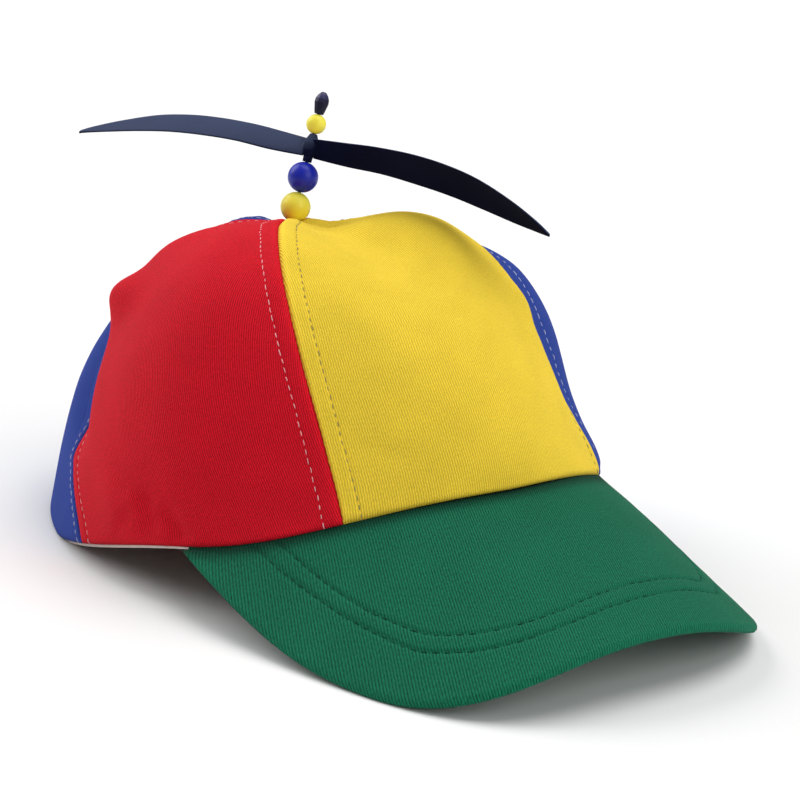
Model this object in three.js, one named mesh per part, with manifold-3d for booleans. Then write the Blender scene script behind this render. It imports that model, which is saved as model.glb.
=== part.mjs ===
// Propeller cap: five cloth panels sewn to a button point, an arched peak, and a propeller on a beaded pin.
// Millimetres, +Z up, peak towards -Y, wearer's left towards +X. The cap stands on its rear hem and the peak's corners.
// Angles run round the rim from the front centre, positive towards the wearer's right.
import * as THREE from "three";
import { mergeVertices } from "three/addons/utils/BufferGeometryUtils.js";
import Module from "manifold-3d";

const wasm = await Module();
wasm.setup();

// Rim oval and cloth
const RIM_HALF_LENGTH = 95.1;
const RIM_HALF_WIDTH = 81.8;
const WALL = 1.6;
const GAP = 0.3;

// Peak, its arch measured as the drop at a given distance from the centre line
const PEAK_END = 64.6;
const PEAK_ROOT_HEIGHT = 39.3;
const PEAK_PITCH = 20.9;
const PEAK_ARCH = 50.7;
const PEAK_ARCH_AT = 80;
const PEAK_ARCH_POWER = 2.36;
const PEAK_HALF_WIDTH = 71.3;
const PEAK_REACH = 62.5;
const PEAK_SQUARENESS = 3.28;
const PEAK_CORNER = 58.8;
const PEAK_THICK = 3.2;
const PEAK_END_WIDTH = 0.8;

// Hem of the crown: its lift off the peak, and the stretch behind the peak's ends that comes down to the floor
const HEM_LIFT = 0.5;
const HEM_RUN = 45;
const HEM_EASING = 0.35;

// Button point where the panels meet, and the share of the way up at which they stop round the pin
const BUTTON_BACK = 21.3;
const BUTTON_HEIGHT = 93.8;
const PANEL_TOP = 0.984;

// Sections of the crown, as shares of the way out to the rim and of the rise to the button
const SECTIONS = [
  { angle: 0, wallOut: 0.962, wallUp: 0.543, topOut: 0.65, topUp: 1.14 },
  { angle: 36, wallOut: 0.801, wallUp: 0.595, topOut: 0.683, topUp: 1.315 },
  { angle: 72, wallOut: 0.916, wallUp: 0.662, topOut: 0.784, topUp: 1.275 },
  { angle: 108, wallOut: 0.868, wallUp: 0.586, topOut: 0.693, topUp: 1.08 },
  { angle: 144, wallOut: 0.936, wallUp: 0.598, topOut: 0.689, topUp: 0.95 },
  { angle: 180, wallOut: 0.961, wallUp: 0.598, topOut: 0.689, topUp: 0.88 },
];

// Seams between panels: the rim angle that each lies on, at every fifth of the way from the hem to the button
const SEAMS = {
  frontRight: { hem: 34.6, low: 38, waist: 43, shoulder: 48, high: 53, button: 60 },
  backRight: { hem: 95, low: 112.5, waist: 122, shoulder: 128, high: 124, button: 102 },
  back: { hem: 180, low: 180, waist: 180, shoulder: 180, high: 180, button: 180 },
  backLeft: { hem: 263, low: 256, waist: 250, shoulder: 245, high: 241, button: 240 },
  frontLeft: { hem: 319.5, low: 318, waist: 313, shoulder: 300, high: 282, button: 264 },
};

// Seams that lie drawn in between swells of the cloth: depth, spread round the rim, and the stretch of the rise
const VALLEYS = [
  { seam: SEAMS.backRight, depth: 5, round: 7, low: 0.19, high: 0.8, fade: 0.04 },
  { seam: SEAMS.frontLeft, depth: 3, round: 4.5, low: 0.15, high: 0.8, fade: 0.1 },
];

// Folds and dents of the soft cloth: place, depth outwards, spread round the rim, spread upwards, slant
const FOLDS = [
  { angle: 318, up: 0.75, depth: 3.1, round: 24, rise: 0.12, slant: 0 },
  { angle: 290, up: 0.66, depth: -4.3, round: 18, rise: 0.12, slant: 0 },
  { angle: 128, up: 0.91, depth: 2.2, round: 18, rise: 0.06, slant: 0 },
  { angle: 112, up: 0.68, depth: 4.0, round: 17, rise: 0.17, slant: 0 },
  { angle: 151, up: 0.62, depth: -6.0, round: 19, rise: 0.2, slant: 0 },
  { angle: 114, up: 0.53, depth: 4.8, round: 10, rise: 0.06, slant: 0 },
  { angle: 117, up: 0.62, depth: -0.6, round: 11, rise: 0.05, slant: 0 },
  { angle: 135, up: 0.39, depth: -0.4, round: 12, rise: 0.06, slant: 0 },
  { angle: 150, up: 0.93, depth: 2.6, round: 16, rise: 0.05, slant: 0 },
  { angle: 318, up: 0.935, depth: -5.0, round: 32, rise: 0.055, slant: 0 },
  { angle: 262, up: 0.88, depth: -3.4, round: 30, rise: 0.1, slant: 0 },
  { angle: 300, up: 0.2, depth: -1.6, round: 15, rise: 0.1, slant: 0 },
  { angle: 317, up: 0.45, depth: 1.4, round: 7, rise: 0.06, slant: 0 },
  { angle: 308, up: 0.05, depth: 1.8, round: 11, rise: 0.06, slant: 0 },
  { angle: 84, up: 0.07, depth: 1.1, round: 5, rise: 0.08, slant: 60 },
  { angle: 72, up: 0.06, depth: -0.9, round: 5, rise: 0.07, slant: 60 },
  { angle: 330, up: 0.42, depth: -1.0, round: 6, rise: 0.06, slant: -70 },
  { angle: 214, up: 0.3, depth: -1.2, round: 13, rise: 0.1, slant: 30 },
  { angle: 20, up: 0.955, depth: 1.3, round: 50, rise: 0.025, slant: 0 },
  { angle: 345, up: 0.87, depth: 3.0, round: 20, rise: 0.07, slant: 0 },
];

// Sweatband inside the rim
const BAND_GAP = 0.8;
const BAND_THICK = 1.2;
const BAND_TOP = 0.2;
const BAND_SHOWS_UNDER_HEM = 1.1;
const BAND_COVERS_PEAK_ROOT = 4.5;
const BAND_EASES_OVER = 14;
const BAND_FLOOR_GAP = 0.4;

// Pin, leaning as the soft crown lets it, and the pieces threaded on it by their height along it
const PIN_LEAN_LEFT = 18.7;
const PIN_LEAN_BACK = 5.7;
const PIN_RADIUS = 0.6;
const PIN_BORE = 0.85;
const PIN_BELOW_BUTTON = 6;
const PIN_INTO_TIP = 3;
const BASE_BEAD = { at: 5.1, radius: 4.6 };
const BLUE_BEAD = { at: 14.7, radius: 4.8 };
const SMALL_BEAD = { at: 31.7, radius: 3.15 };
const HUB_AT = 24.4;
const TIP_AT = 35.05;

// Propeller hub profile, by height from its middle
const HUB_PROFILE = [
  { up: -4.6, radius: 1.45 },
  { up: -2.9, radius: 1.6 },
  { up: -1.9, radius: 2.2 },
  { up: 1.0, radius: 2.35 },
  { up: 2.4, radius: 1.9 },
  { up: 3.85, radius: 1.2 },
];

// Blade sections: distance out, chord, angle of the chord to the disc, height of the chord's middle
const BLADE_SECTIONS = [
  { out: 1.2, chord: 6.6, pitch: 61, height: -0.4 },
  { out: 12.7, chord: 8.5, pitch: 53, height: -0.2 },
  { out: 24.5, chord: 10.3, pitch: 45, height: 0.2 },
  { out: 36.8, chord: 11.9, pitch: 43, height: -0.2 },
  { out: 48.5, chord: 12.7, pitch: 41, height: -1.3 },
  { out: 60.3, chord: 12.4, pitch: 40, height: -3.4 },
  { out: 72, chord: 9.6, pitch: 38, height: -6.5 },
  { out: 80.9, chord: 4.8, pitch: 37, height: -9.3 },
  { out: 85.3, chord: 0.9, pitch: 37, height: -11 },
];
const BLADE_THICK = 1.1;
const BLADE_EDGE = 0.5;
const BLADE_CAMBER = 0.06;
const BLADE_STATIONS = 20;
const BLADE_TURN = -46.3;
const REAR_BLADE_FLATTER = 5;
const FRONT_BLADE_LONGER = 1.012;

// Pointed end bead, by height from its foot
const TIP_PROFILE = [
  { up: 0, radius: 1.5 },
  { up: 1.0, radius: 1.8 },
  { up: 3.6, radius: 2.4 },
  { up: 4.8, radius: 2.3 },
  { up: 6.0, radius: 1.65 },
  { up: 6.95, radius: 0.7 },
];
const TIP_FACETS = 8;

const rad = THREE.MathUtils.degToRad;
const smooth = (value, low, high) => THREE.MathUtils.smoothstep(value, low, high);
const mix = THREE.MathUtils.lerp;

// Rim oval
function rimPlan(angle, inset = 0) {
  const x = -(RIM_HALF_WIDTH - inset) * Math.sin(rad(angle));
  const y = -(RIM_HALF_LENGTH - inset) * Math.cos(rad(angle));
  return new THREE.Vector2(x, y);
}

// Height of the peak's skin line over the floor
function peakHeight(x, y) {
  const fall = Math.tan(rad(PEAK_PITCH)) * (-y - RIM_HALF_LENGTH);
  const arch = PEAK_ARCH * (Math.abs(x) / PEAK_ARCH_AT) ** PEAK_ARCH_POWER;
  return PEAK_ROOT_HEIGHT - fall - arch;
}

// Height of the crown's lower edge: over the peak in front, down to the floor behind its ends
function hemHeight(x, y) {
  const angle = Math.abs(THREE.MathUtils.radToDeg(Math.atan2(-x / RIM_HALF_WIDTH, -y / RIM_HALF_LENGTH)));
  if (angle <= PEAK_END) {
    return peakHeight(x, y) + HEM_LIFT;
  }
  const size = Math.hypot(x / RIM_HALF_WIDTH, y / RIM_HALF_LENGTH);
  const end = rimPlan(PEAK_END).multiplyScalar(size);
  const back = THREE.MathUtils.clamp((angle - PEAK_END) / HEM_RUN, 0, 1);
  return (peakHeight(end.x, end.y) + HEM_LIFT) * (1 - mix(back, smooth(back, 0, 1), HEM_EASING));
}

// Section values at any angle, from the rows and their mirror images
function sectionCurve(outName, upName) {
  const rows = [...SECTIONS, ...SECTIONS.slice(1, -1).reverse()];
  const points = rows.map((row) => new THREE.Vector3(row[outName], row[upName], 0));
  return new THREE.CatmullRomCurve3(points, true, "catmullrom", 0.5);
}
const wallCurve = sectionCurve("wallOut", "wallUp");
const topCurve = sectionCurve("topOut", "topUp");

// Shortest turn between two rim angles
function turnFrom(angle, start) {
  return THREE.MathUtils.euclideanModulo(angle - start + 180, 360) - 180;
}

function foldDepth(angle, up) {
  let depth = 0;
  for (const fold of FOLDS) {
    const round = turnFrom(angle, fold.angle + fold.slant * (up - fold.up)) / fold.round;
    const rise = (up - fold.up) / fold.rise;
    depth += fold.depth * Math.exp(-round * round - rise * rise);
  }
  for (const valley of VALLEYS) {
    const round = turnFrom(angle, seamAngle(valley.seam, up)) / valley.round;
    const below = smooth(up, valley.low - valley.fade, valley.low + valley.fade);
    const above = smooth(up, valley.high - 0.08, valley.high + 0.08);
    depth -= valley.depth * Math.exp(-round * round) * below * (1 - above);
  }
  return depth * smooth(up, 0, 0.04) * smooth(1 - up, 0.01, 0.07);
}

// Outer face of the crown, from the hem (up = 0) to the button (up = 1)
function crownPoint(angle, up) {
  const share = THREE.MathUtils.euclideanModulo(angle, 360) / 360;
  const plan = rimPlan(angle);
  const rim = new THREE.Vector3(plan.x, plan.y, hemHeight(plan.x, plan.y));
  const button = new THREE.Vector3(0, BUTTON_BACK, BUTTON_HEIGHT);
  const control = (at) => new THREE.Vector3(
    mix(button.x, rim.x, at.x),
    mix(button.y, rim.y, at.x),
    mix(rim.z, button.z, at.y),
  );
  const wall = control(wallCurve.getPoint(share));
  const top = control(topCurve.getPoint(share));
  const point = new THREE.CubicBezierCurve3(rim, wall, top, button).getPoint(up);
  const heart = new THREE.Vector3(0, BUTTON_BACK / 2, Math.min(point.z, BUTTON_HEIGHT / 2));
  return point.addScaledVector(heart.sub(point).normalize(), -foldDepth(angle, up));
}

// Crown face set in by a depth, with the hem's edge kept level with the outer one
function crownLayer(angle, up, depth) {
  const round = crownPoint(angle + 0.5, up).sub(crownPoint(angle - 0.5, up));
  const rise = crownPoint(angle, Math.min(up + 0.004, 1)).sub(crownPoint(angle, Math.max(up - 0.004, 0)));
  const normal = rise.cross(round);
  normal.z *= smooth(up, 0, 0.06);
  const point = crownPoint(angle, up).addScaledVector(normal.normalize(), -depth);
  if (up === 0) {
    point.z = hemHeight(point.x, point.y);
  }
  return point;
}

function seamAngle(seam, up) {
  const { hem, low, waist, shoulder, high, button } = seam;
  const points = [hem, low, waist, shoulder, high, button].map((angle) => new THREE.Vector2(angle, 0));
  return new THREE.SplineCurve(points).getPoint(up).x;
}

// Closed solid between two grids of points, whose columns run round and rows run up
function layered(outer, inner, wraps) {
  const columns = outer.length;
  const rows = outer[0].length;
  const at = (layer, column, row) => (layer * columns + (column % columns)) * rows + row;
  const index = [];
  const quad = (a, b, c, d) => index.push(a, b, c, a, c, d);
  const spans = wraps ? columns : columns - 1;
  for (let i = 0; i < spans; i += 1) {
    for (let j = 0; j < rows - 1; j += 1) {
      quad(at(0, i, j), at(0, i, j + 1), at(0, i + 1, j + 1), at(0, i + 1, j));
      quad(at(1, i, j), at(1, i + 1, j), at(1, i + 1, j + 1), at(1, i, j + 1));
    }
    quad(at(0, i, 0), at(0, i + 1, 0), at(1, i + 1, 0), at(1, i, 0));
    quad(at(0, i, rows - 1), at(1, i, rows - 1), at(1, i + 1, rows - 1), at(0, i + 1, rows - 1));
  }
  for (let j = 0; j < rows - 1 && !wraps; j += 1) {
    quad(at(0, 0, j), at(1, 0, j), at(1, 0, j + 1), at(0, 0, j + 1));
    quad(at(0, spans, j), at(0, spans, j + 1), at(1, spans, j + 1), at(1, spans, j));
  }
  const geometry = new THREE.BufferGeometry();
  const points = [...outer.flat(), ...inner.flat()];
  geometry.setFromPoints(points);
  geometry.setIndex(index);
  return geometry;
}

function material(colour, roughness) {
  return new THREE.MeshStandardMaterial({ color: colour, roughness });
}

function piece(name, geometry, colour, roughness) {
  const mesh = new THREE.Mesh(geometry, material(colour, roughness));
  mesh.name = name;
  return mesh;
}

// One cloth panel between two seams
function panel(name, fromSeam, toSeam, colour) {
  const spans = 12;
  const rises = 20;
  const columns = [[], []];
  for (let i = 0; i <= spans; i += 1) {
    const layers = [[], []];
    for (let j = 0; j <= rises; j += 1) {
      const up = (PANEL_TOP * j) / rises;
      const from = seamAngle(fromSeam, up);
      const to = from + THREE.MathUtils.euclideanModulo(seamAngle(toSeam, up) - from, 360);
      const perDegree = (angle) => crownPoint(angle + 0.5, up).distanceTo(crownPoint(angle - 0.5, up));
      const angle = mix(from + GAP / 2 / perDegree(from), to - GAP / 2 / perDegree(to), i / spans);
      layers[0].push(crownLayer(angle, up, 0));
      layers[1].push(crownLayer(angle, up, WALL));
    }
    columns[0].push(layers[0]);
    columns[1].push(layers[1]);
  }
  return piece(name, layered(columns[0], columns[1], false), colour, 0.9);
}

// Plan of the peak's outer edge, evenly spaced from the wearer's left end to the right one
function peakEdge(count) {
  const end = rimPlan(PEAK_END);
  end.multiplyScalar(1 + PEAK_END_WIDTH / end.length());
  const depth = RIM_HALF_LENGTH + PEAK_REACH + end.y;
  const points = [];
  for (let k = -900; k <= 900; k += 1) {
    const turn = k / 10;
    const side = Math.abs(Math.sin(rad(turn))) ** (2 / PEAK_SQUARENESS);
    const front = Math.abs(Math.cos(rad(turn))) ** (2 / PEAK_SQUARENESS);
    const pull = THREE.MathUtils.clamp((Math.abs(turn) - PEAK_CORNER) / (90 - PEAK_CORNER), 0, 1) ** 2;
    const x = -Math.sign(turn) * mix(PEAK_HALF_WIDTH * side, Math.abs(end.x), pull);
    points.push(new THREE.Vector3(x, end.y - depth * front, 0));
  }
  return new THREE.CatmullRomCurve3(points).getSpacedPoints(count);
}

// Peak: a root strip under the hem, then a sheet out to the edge that slides from below its skin line to above it
function peak() {
  const count = 40;
  const edge = peakEdge(count);
  const shares = [0, 0.08, 0.25, 0.45, 0.65, 0.83, 0.96, 1];
  const columns = [[], []];
  for (let i = 0; i <= count; i += 1) {
    const angle = mix(-PEAK_END, PEAK_END, i / count);
    const root = rimPlan(angle);
    const under = rimPlan(angle, WALL);
    const layers = [[], []];
    for (const share of [-1, ...shares]) {
      const out = Math.max(share, 0);
      const x = share < 0 ? under.x : mix(root.x, edge[i].x, out);
      const y = share < 0 ? under.y : mix(root.y, edge[i].y, out);
      const skin = new THREE.Vector3(x, y, peakHeight(x, y));
      const slopeX = (peakHeight(x + 0.2, y) - peakHeight(x - 0.2, y)) / 0.4;
      const slopeY = (peakHeight(x, y + 0.2) - peakHeight(x, y - 0.2)) / 0.4;
      const normal = new THREE.Vector3(-slopeX, -slopeY, 1).normalize();
      const across = new THREE.Vector3(0, 0, 1).lerp(normal, smooth(out, 0.02, 0.3)).normalize();
      const round = share === 1 ? PEAK_THICK * 0.28 : 0;
      const top = skin.clone().addScaledVector(across, PEAK_THICK * out - round);
      const bottom = skin.clone().addScaledVector(across, PEAK_THICK * (out - 1) + round);
      bottom.z = Math.max(bottom.z, 0);
      layers[0].push(top);
      layers[1].push(bottom);
    }
    columns[0].unshift(layers[0]);
    columns[1].unshift(layers[1]);
  }
  return piece("brim", layered(columns[0], columns[1], false), 0x1e6e4e, 0.9);
}

// Sweatband: a closed ring inside the hem that shows a little under it and covers the peak's root
function sweatband() {
  const count = 60;
  const rises = [0, 0.03, 0.085, 0.14, BAND_TOP];
  const columns = [[], []];
  for (let i = 0; i < count; i += 1) {
    const angle = (360 * i) / count;
    const fromFront = Math.min(angle, 360 - angle);
    const past = smooth(fromFront, PEAK_END - BAND_EASES_OVER, PEAK_END);
    const drop = mix(BAND_COVERS_PEAK_ROOT, BAND_SHOWS_UNDER_HEM, past);
    [WALL + BAND_GAP, WALL + BAND_GAP + BAND_THICK].forEach((depth, layer) => {
      const column = rises.map((up) => crownLayer(angle, up, depth));
      column[0].z = Math.max(column[0].z - drop, BAND_FLOOR_GAP);
      columns[layer].push(column);
    });
  }
  return piece("sweatband", layered(columns[0], columns[1], true), 0xe9e0d8, 0.95);
}

// Turned solid round the pin, from a profile of [radius, height] pairs
function turned(profile, segments) {
  const geometry = new THREE.LatheGeometry(profile.map(([r, h]) => new THREE.Vector2(r, h)), segments);
  geometry.deleteAttribute("normal");
  geometry.deleteAttribute("uv");
  const merged = mergeVertices(geometry, 1e-4);
  const corners = merged.index.array;
  const kept = [];
  for (let k = 0; k < corners.length; k += 3) {
    const [a, b, c] = corners.slice(k, k + 3);
    if (a !== b && b !== c && c !== a) {
      kept.push(a, b, c);
    }
  }
  merged.setIndex(kept);
  return merged;
}

function bead(name, size, colour, segments) {
  const start = Math.asin(PIN_BORE / size.radius);
  const profile = [];
  for (let k = 0; k <= 10; k += 1) {
    const turn = mix(start, Math.PI - start, k / 10);
    profile.push([size.radius * Math.sin(turn), -size.radius * Math.cos(turn)]);
  }
  profile.push(profile[0]);
  const mesh = piece(name, turned(profile, segments), colour, 0.3);
  mesh.position.y = size.at;
  return mesh;
}

// One blade: a thin cambered plate lofted through the section rows and stretched, its root inside the hub and
// its outer part bent flatter by the given angle
function blade(longer, flatter) {
  const rows = BLADE_SECTIONS;
  const places = new THREE.CatmullRomCurve3(rows.map((r) => new THREE.Vector3(r.out * longer, r.chord, r.height)));
  const pitches = new THREE.CatmullRomCurve3(rows.map((r) => new THREE.Vector3(r.out * longer, r.pitch, 0)));
  const chordwise = [-0.5, -0.25, 0, 0.25, 0.5];
  const upper = [];
  const lower = [];
  for (let k = 0; k <= BLADE_STATIONS; k += 1) {
    const place = places.getPoint(k / BLADE_STATIONS);
    const pitch = rad(pitches.getPoint(k / BLADE_STATIONS).y - flatter * smooth(place.x, 12, 40));
    const chord = place.y;
    const sides = [[], []];
    for (const c of chordwise) {
      const fullness = 1 - 4 * c * c;
      const thick = Math.min(mix(BLADE_EDGE, BLADE_THICK, fullness), chord * 0.8) / 2;
      const middle = chord * BLADE_CAMBER * fullness;
      [middle + thick, middle - thick].forEach((offset, side) => {
        const along = c * chord;
        const towards = along * Math.cos(pitch) - offset * Math.sin(pitch);
        const height = place.z + along * Math.sin(pitch) + offset * Math.cos(pitch);
        sides[side].push(new THREE.Vector3(place.x, height, towards));
      });
    }
    upper.push(sides[0]);
    lower.push(sides[1]);
  }
  return layered(upper, lower, false);
}

function toManifold(geometry) {
  const vertProperties = new Float32Array(geometry.attributes.position.array);
  const triVerts = new Uint32Array(geometry.index.array);
  return new wasm.Manifold(new wasm.Mesh({ numProp: 3, vertProperties, triVerts }));
}

function fromManifold(solid) {
  const mesh = solid.getMesh();
  const geometry = new THREE.BufferGeometry();
  geometry.setAttribute("position", new THREE.BufferAttribute(new Float32Array(mesh.vertProperties), 3));
  geometry.setIndex(Array.from(mesh.triVerts));
  return geometry;
}

// Propeller: the hub with its bore and two blades half a turn apart, as one moulding
function propeller() {
  const profile = HUB_PROFILE.map((row) => [row.radius, row.up]);
  const top = HUB_PROFILE[HUB_PROFILE.length - 1].up;
  const hub = turned([[PIN_BORE, HUB_PROFILE[0].up], ...profile, [PIN_BORE, top], [PIN_BORE, HUB_PROFILE[0].up]], 20);
  const front = blade(FRONT_BLADE_LONGER, 0);
  const rear = blade(1, REAR_BLADE_FLATTER).rotateY(Math.PI);
  const joined = toManifold(hub).add(toManifold(front)).add(toManifold(rear));
  const mesh = piece("propeller", fromManifold(joined), 0x14141c, 0.25);
  mesh.position.y = HUB_AT;
  mesh.rotation.y = rad(BLADE_TURN);
  return mesh;
}

function tip() {
  const seat = PIN_INTO_TIP + GAP;
  const outline = TIP_PROFILE.map((row) => [row.radius, row.up]);
  const end = TIP_PROFILE[TIP_PROFILE.length - 1].up;
  const profile = [[0, seat], [PIN_BORE, seat], [PIN_BORE, 0], ...outline, [0, end]];
  const mesh = piece("tip", turned(profile, TIP_FACETS), 0x1c1b2c, 0.3);
  mesh.position.y = TIP_AT;
  return mesh;
}

function post() {
  const length = PIN_BELOW_BUTTON + TIP_AT + PIN_INTO_TIP;
  const profile = [[0, 0], [PIN_RADIUS, 0], [PIN_RADIUS, length], [0, length]];
  const mesh = piece("post", turned(profile, 12), 0x8c8c90, 0.4);
  mesh.position.y = -PIN_BELOW_BUTTON;
  return mesh;
}

// Beads, propeller and tip along the leaning pin
function stack() {
  const group = new THREE.Group();
  const lean = new THREE.Vector3(Math.tan(rad(PIN_LEAN_LEFT)), Math.tan(rad(PIN_LEAN_BACK)), 1).normalize();
  group.quaternion.setFromUnitVectors(new THREE.Vector3(0, 1, 0), lean);
  group.position.set(0, BUTTON_BACK, BUTTON_HEIGHT);
  group.add(post());
  group.add(bead("bead_base", BASE_BEAD, 0xe1cd3c, 20));
  group.add(bead("bead_blue", BLUE_BEAD, 0x2d2daa, 20));
  group.add(propeller());
  group.add(bead("bead_small", SMALL_BEAD, 0xe1cd3c, 16));
  group.add(tip());
  return group;
}

const cap = new THREE.Group();
cap.name = "propeller_cap";
cap.add(panel("panel_front", SEAMS.frontLeft, SEAMS.frontRight, 0xe8c83c));
cap.add(panel("panel_right", SEAMS.frontRight, SEAMS.backRight, 0xbe1625));
cap.add(panel("panel_back_right", SEAMS.backRight, SEAMS.back, 0x2d419b));
cap.add(panel("panel_back_left", SEAMS.back, SEAMS.backLeft, 0xbe1625));
cap.add(panel("panel_left", SEAMS.backLeft, SEAMS.frontLeft, 0x2d419b));
cap.add(peak());
cap.add(sweatband());
cap.add(stack());
const extent = new THREE.Box3().setFromObject(cap, true);
cap.position.y = -(extent.min.y + extent.max.y) / 2;

export default cap;
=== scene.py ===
import math

import bmesh
import bpy
import numpy as np
from mathutils import Matrix, Vector, noise


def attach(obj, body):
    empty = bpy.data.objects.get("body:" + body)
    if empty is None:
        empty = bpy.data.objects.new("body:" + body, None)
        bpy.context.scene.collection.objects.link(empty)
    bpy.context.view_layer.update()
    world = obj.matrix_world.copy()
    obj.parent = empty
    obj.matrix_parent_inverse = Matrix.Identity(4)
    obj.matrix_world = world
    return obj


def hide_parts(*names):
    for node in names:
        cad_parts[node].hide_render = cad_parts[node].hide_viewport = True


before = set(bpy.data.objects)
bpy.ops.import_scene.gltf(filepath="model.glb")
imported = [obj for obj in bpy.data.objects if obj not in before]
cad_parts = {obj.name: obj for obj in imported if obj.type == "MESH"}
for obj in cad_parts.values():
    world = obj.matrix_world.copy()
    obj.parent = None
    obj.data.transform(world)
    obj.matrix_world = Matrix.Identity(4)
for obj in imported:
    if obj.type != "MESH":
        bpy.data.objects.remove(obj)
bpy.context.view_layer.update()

# Camera: a short way above the peak's right corner, near enough that the forward blade looks the longer one.
# Like everything below, it is set out in millimetres from the middle of the rim's oval on the floor.
MM = 0.001
RIM_MIDDLE = np.array([0.0, 29.338, 0.0])
CAMERA_AZIMUTH, CAMERA_ELEVATION, CAMERA_ROLL = -36.51, 16.64, 2.52
CAMERA_RIGHT, CAMERA_UP, CAMERA_BACK = 25.44, 39.63, 800.0
CAMERA_LENS, CAMERA_SENSOR, CAMERA_NEAR = 113.4, 36.0, 0.01
scene = bpy.context.scene


def placed(name, data):
    """New object in the scene."""
    made = bpy.data.objects.new(name, data)
    scene.collection.objects.link(made)
    return made


camera_data = bpy.data.cameras.new("camera")
camera_data.lens = CAMERA_LENS
camera_data.sensor_width = CAMERA_SENSOR
camera_data.clip_start = CAMERA_NEAR
view = Matrix.Translation(Vector(RIM_MIDDLE * MM))
for degrees, axis in ((CAMERA_AZIMUTH, "Z"), (90 - CAMERA_ELEVATION, "X"), (CAMERA_ROLL, "Z")):
    view = view @ Matrix.Rotation(math.radians(degrees), 4, axis)
camera = placed("camera", camera_data)
camera.matrix_world = view @ Matrix.Translation(Vector((CAMERA_RIGHT, CAMERA_UP, CAMERA_BACK)) * MM)
scene.camera = camera

# Crown: five panels of cotton twill, cut as gores and sewn edge to edge up to the button point.
# The edges are turned in and the turnings are stitched down, so a raised border runs along every seam.
RIM_HALF_LENGTH, RIM_HALF_WIDTH = 95.1, 81.8
PEAK_END, PEAK_ROOT_HEIGHT, PEAK_PITCH = 64.6, 39.3, 20.9
PEAK_ARCH, PEAK_ARCH_AT, PEAK_ARCH_POWER = 50.7, 80.0, 2.36
HEM_LIFT, HEM_RUN, HEM_EASING = 0.5, 45.0, 0.35
BUTTON = np.array([0.0, 21.3, 93.8])
CLOTH_THICK, PANEL_TOP, SEAM_GAP = 1.35, 0.988, 0.05

# wall out, wall up, top out, top up: shares of the way out to the rim and of the rise, every 36 degrees
SECTIONS = np.array([
    (0.962, 0.543, 0.65, 1.14),
    (0.801, 0.595, 0.683, 1.315),
    (0.916, 0.662, 0.784, 1.275),
    (0.868, 0.586, 0.693, 1.08),
    (0.936, 0.598, 0.689, 0.95),
    (0.961, 0.598, 0.689, 0.88),
])
# rim angle of each seam at every fifth of the way from the hem to the button
SEAMS = {
    "front_right": (34.6, 38, 43, 48, 53, 60),
    "back_right": (95, 112.5, 122, 128, 124, 102),
    "back": (180, 180, 180, 180, 180, 180),
    "back_left": (263, 256, 250, 245, 241, 240),
    "front_left": (319.5, 318, 313, 300, 282, 264),
}
# seams drawn in between swells of the cloth: depth, spread round, low end, high end, softness of the low end
VALLEYS = [
    ("back_right", 5.0, 7.0, 0.19, 0.8, 0.04),
    ("front_left", 3.0, 4.5, 0.15, 0.8, 0.1),
]
VALLEY_TOP_SOFTNESS = 0.08
# angle, up, depth, spread round, spread upwards, slant
FOLDS = [
    (318, 0.75, 3.1, 24, 0.12, 0),
    (290, 0.66, -4.3, 18, 0.12, 0),
    (128, 0.91, 2.2, 18, 0.06, 0),
    (112, 0.68, 4.0, 17, 0.17, 0),
    (151, 0.62, -6.0, 19, 0.2, 0),
    (114, 0.53, 4.8, 10, 0.06, 0),
    (117, 0.62, -0.6, 11, 0.05, 0),
    (135, 0.39, -0.4, 12, 0.06, 0),
    (150, 0.93, 2.6, 16, 0.05, 0),
    (318, 0.935, -5.0, 32, 0.055, 0),
    (262, 0.88, -3.4, 30, 0.1, 0),
    (300, 0.2, -1.6, 15, 0.1, 0),
    (317, 0.45, 1.4, 7, 0.06, 0),
    (308, 0.05, 1.8, 11, 0.06, 0),
    (84, 0.07, 1.1, 5, 0.08, 60),
    (72, 0.06, -0.9, 5, 0.07, 60),
    (330, 0.42, -1.0, 6, 0.06, -70),
    (214, 0.3, -1.2, 13, 0.1, 30),
    (20, 0.955, 1.3, 50, 0.025, 0),
    (345, 0.87, 3.0, 20, 0.07, 0),
]
# small creases: angle and up at each end, depth, half width
CREASES = [
    (66, 0.015, 71, 0.07, -1.15, 2.9),
    (69.5, 0.015, 74, 0.07, 0.7, 2.9),
    (73, 0.04, 77, 0.1, -0.9, 2.9),
    (76.5, 0.04, 80, 0.1, 0.6, 3.0),
    (83, 0.03, 79, 0.06, -0.6, 2.2),
    (328, 0.36, 335, 0.46, 0.7, 2.2),
    (340, 0.2, 350, 0.27, -0.3, 2.5),
    (20, 0.12, 30, 0.17, -0.3, 3.0),
]


def smooth(value, low, high):
    t = np.clip((value - low) / (high - low), 0.0, 1.0)
    return t * t * (3 - 2 * t)


def bell(value, width):
    """1 in the middle, falling off evenly to both sides."""
    return np.exp(-(value / width) ** 2)


def between_rows(table, place, wraps=False):
    """Smooth run through the rows of a table, at places counted in rows."""
    last = len(table) - 1
    first = np.minimum(np.floor(place).astype(int), last if wraps else last - 1)
    near = [first + k for k in (-1, 0, 1, 2)]
    p0, p1, p2, p3 = (table[k % len(table) if wraps else np.clip(k, 0, last)] for k in near)
    t = (place - first).reshape(place.shape + (1,) * (table.ndim - 1))
    return 0.5 * (2 * p1 + (p2 - p0) * t + (2 * p0 - 5 * p1 + 4 * p2 - p3) * t ** 2
                  + (3 * p1 - p0 - 3 * p2 + p3) * t ** 3)


def unit(vectors):
    return vectors / np.maximum(np.linalg.norm(vectors, axis=-1, keepdims=True), 1e-9)


def half_round(angle):
    """An angle brought between -180 and 180 degrees."""
    return np.mod(angle + 180, 360) - 180


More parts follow.
